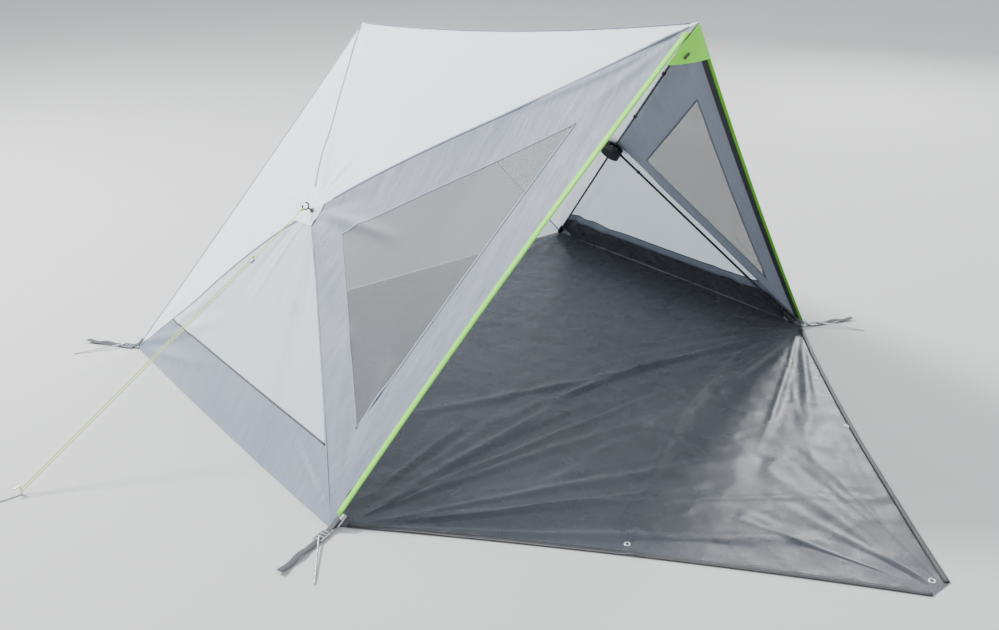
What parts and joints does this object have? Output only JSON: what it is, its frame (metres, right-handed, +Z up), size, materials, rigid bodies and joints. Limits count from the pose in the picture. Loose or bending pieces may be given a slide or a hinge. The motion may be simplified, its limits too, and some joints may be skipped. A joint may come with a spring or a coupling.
{
  "type": "pop-up beach shelter",
  "caption": "Open-fronted ridge shelter on two sprung side hubs, with mesh windows, a groundsheet, a porch flap that closes as its door, and a guy line.",
  "frame": {"origin": "middle of the groundsheet's underside, on the ground", "axes": "+Z up, ridge along Y with the open front facing -Y, left side at -X"},
  "size_m": [3.0886, 2.7603, 1.2573],
  "materials": {
    "roof_cloth": "white coated polyester, plain weave, soft sheen",
    "wall_cloth": "pale grey-white coated polyester",
    "grey_cloth": "silver-grey coated polyester",
    "window_mesh": "fine grey insect mesh",
    "lime_cloth": "lime green woven binding",
    "groundsheet_cloth": "charcoal coated groundsheet, glossy",
    "pole_glassfibre": "black glass-fibre rod",
    "black_plastic": "black moulded nylon",
    "grey_webbing": "grey polyester webbing",
    "grey_plastic": "grey moulded acetal",
    "steel": "zinc-plated steel",
    "guy_cord": "pale lime braided cord"
  },
  "bodies": {
    "root": {"apex_patch": "lime_cloth", "front_apex_fitting": "black_plastic", "groundsheet": "groundsheet_cloth", "guy_line": "guy_cord", "guy_peg": "steel", "left_front_band": "grey_cloth", "left_front_binding": "lime_cloth", "left_front_buckle": "grey_plastic", "left_front_foot": "black_plastic", "left_front_strap": "grey_webbing", "left_lower_panel": "wall_cloth", "left_mesh_window": "window_mesh", "left_rear_buckle": "grey_plastic", "left_rear_foot": "black_plastic", "left_rear_panel": "wall_cloth", "left_rear_strap": "grey_webbing", "left_roof_panel": "roof_cloth", "left_skirt": "grey_cloth", "rear_apex_fitting": "black_plastic", "rear_wall": "wall_cloth", "right_front_band": "grey_cloth", "right_front_binding": "lime_cloth", "right_front_buckle": "grey_plastic", "right_front_foot": "black_plastic", "right_front_strap": "grey_webbing", "right_lower_panel": "wall_cloth", "right_mesh_window": "window_mesh", "right_rear_buckle": "grey_plastic", "right_rear_foot": "black_plastic", "right_rear_panel": "wall_cloth", "right_rear_strap": "grey_webbing", "right_roof_panel": "roof_cloth", "right_skirt": "grey_cloth"},
    "left_hub": {"left_hub_body": "black_plastic", "left_hub_cap": "black_plastic", "left_hub_ring": "steel", "left_hub_patch": "roof_cloth", "left_guy_hook": "black_plastic"},
    "left_front_apex_pole": {"left_front_apex_pole": "pole_glassfibre"},
    "left_front_foot_pole": {"left_front_foot_pole": "pole_glassfibre"},
    "left_rear_foot_pole": {"left_rear_foot_pole": "pole_glassfibre"},
    "left_rear_apex_pole": {"left_rear_apex_pole": "pole_glassfibre"},
    "right_hub": {"right_hub_body": "black_plastic", "right_hub_cap": "black_plastic", "right_hub_ring": "steel", "right_hub_patch": "roof_cloth", "right_guy_hook": "black_plastic"},
    "right_front_apex_pole": {"right_front_apex_pole": "pole_glassfibre"},
    "right_front_foot_pole": {"right_front_foot_pole": "pole_glassfibre"},
    "right_rear_foot_pole": {"right_rear_foot_pole": "pole_glassfibre"},
    "right_rear_apex_pole": {"right_rear_apex_pole": "pole_glassfibre"},
    "porch_door": {"porch_door": "groundsheet_cloth"},
    "left_zip": {"left_zip_slider": "steel"},
    "left_front_peg": {"left_front_peg": "steel"},
    "left_rear_peg": {"left_rear_peg": "steel"},
    "right_zip": {"right_zip_slider": "steel"},
    "right_front_peg": {"right_front_peg": "steel"},
    "right_rear_peg": {"right_rear_peg": "steel"},
    "guy_slider": {"guy_slider": "grey_plastic"}
  },
  "joints": [
    {"name": "left_hub_push", "type": "slide", "parent": "root", "child": "left_hub", "axis": [0.7426, -0.0376, -0.6687], "range_m": [0, 0.12], "deforming": ["guy_line"]},
    {"name": "left_front_apex_pole_pivot", "type": "hinge", "parent": "left_hub", "child": "left_front_apex_pole", "pos_m": [-0.63901, -0.0403, 0.64242], "axis": [-0.4992, -0.6966, -0.5152], "range_deg": [0, 5.7]},
    {"name": "left_front_foot_pole_pivot", "type": "hinge", "parent": "left_hub", "child": "left_front_foot_pole", "pos_m": [-0.66475, -0.03943, 0.61379], "axis": [-0.4377, 0.7284, -0.5271], "range_deg": [0, 7.37]},
    {"name": "left_rear_foot_pole_pivot", "type": "hinge", "parent": "left_hub", "child": "left_rear_foot_pole", "pos_m": [-0.66325, -0.0018, 0.61334], "axis": [0.4949, 0.7035, 0.51], "range_deg": [0, 7.22]},
    {"name": "left_rear_apex_pole_pivot", "type": "hinge", "parent": "left_hub", "child": "left_rear_apex_pole", "pos_m": [-0.63757, -0.00217, 0.64188], "axis": [0.4459, -0.7172, 0.5355], "range_deg": [0, 6.83]},
    {"name": "right_hub_push", "type": "slide", "parent": "root", "child": "right_hub", "axis": [-0.7426, -0.0376, -0.6687], "range_m": [0, 0.12]},
    {"name": "right_front_apex_pole_pivot", "type": "hinge", "parent": "right_hub", "child": "right_front_apex_pole", "pos_m": [0.63901, -0.0403, 0.64242], "axis": [-0.4992, 0.6966, 0.5152], "range_deg": [0, 5.7]},
    {"name": "right_front_foot_pole_pivot", "type": "hinge", "parent": "right_hub", "child": "right_front_foot_pole", "pos_m": [0.66475, -0.03943, 0.61379], "axis": [-0.4377, -0.7284, 0.5271], "range_deg": [0, 7.37]},
    {"name": "right_rear_foot_pole_pivot", "type": "hinge", "parent": "right_hub", "child": "right_rear_foot_pole", "pos_m": [0.66325, -0.0018, 0.61334], "axis": [0.4949, -0.7035, -0.51], "range_deg": [0, 7.22]},
    {"name": "right_rear_apex_pole_pivot", "type": "hinge", "parent": "right_hub", "child": "right_rear_apex_pole", "pos_m": [0.63757, -0.00217, 0.64188], "axis": [0.4459, 0.7172, -0.5355], "range_deg": [0, 6.83]},
    {"name": "porch_door_lift", "type": "hinge", "parent": "root", "child": "porch_door", "pos_m": [0, -0.715, 0.0015], "axis": [-1, 0, 0], "range_deg": [0, 79]},
    {"name": "left_zip_run", "type": "slide", "parent": "root", "child": "left_zip", "axis": [0.6334, -0.1448, 0.7601], "range_m": [0, 1.45]},
    {"name": "left_front_peg_pull", "type": "slide", "parent": "root", "child": "left_front_peg", "axis": [0, 0, 1], "range_m": [0, 0.1]},
    {"name": "left_rear_peg_pull", "type": "slide", "parent": "root", "child": "left_rear_peg", "axis": [0, 0, 1], "range_m": [0, 0.1]},
    {"name": "right_zip_run", "type": "slide", "parent": "root", "child": "right_zip", "axis": [-0.6334, -0.1448, 0.7601], "range_m": [0, 1.45]},
    {"name": "right_front_peg_pull", "type": "slide", "parent": "root", "child": "right_front_peg", "axis": [0, 0, 1], "range_m": [0, 0.1]},
    {"name": "right_rear_peg_pull", "type": "slide", "parent": "root", "child": "right_rear_peg", "axis": [0, 0, 1], "range_m": [0, 0.1]},
    {"name": "guy_slider_run", "type": "slide", "parent": "left_hub", "child": "guy_slider", "axis": [-0.8286, 0, -0.5598], "range_m": [0, 0.05]}
  ],
  "couplings": [
    {"joint": "left_front_apex_pole_pivot", "follows": "left_hub_push", "rad_per_m": 0.82147},
    {"joint": "left_front_foot_pole_pivot", "follows": "left_hub_push", "rad_per_m": 1.0643},
    {"joint": "left_rear_foot_pole_pivot", "follows": "left_hub_push", "rad_per_m": 1.0431},
    {"joint": "left_rear_apex_pole_pivot", "follows": "left_hub_push", "rad_per_m": 0.98605},
    {"joint": "right_front_apex_pole_pivot", "follows": "right_hub_push", "rad_per_m": 0.82147},
    {"joint": "right_front_foot_pole_pivot", "follows": "right_hub_push", "rad_per_m": 1.0643},
    {"joint": "right_rear_foot_pole_pivot", "follows": "right_hub_push", "rad_per_m": 1.0431},
    {"joint": "right_rear_apex_pole_pivot", "follows": "right_hub_push", "rad_per_m": 0.98605}
  ]
}
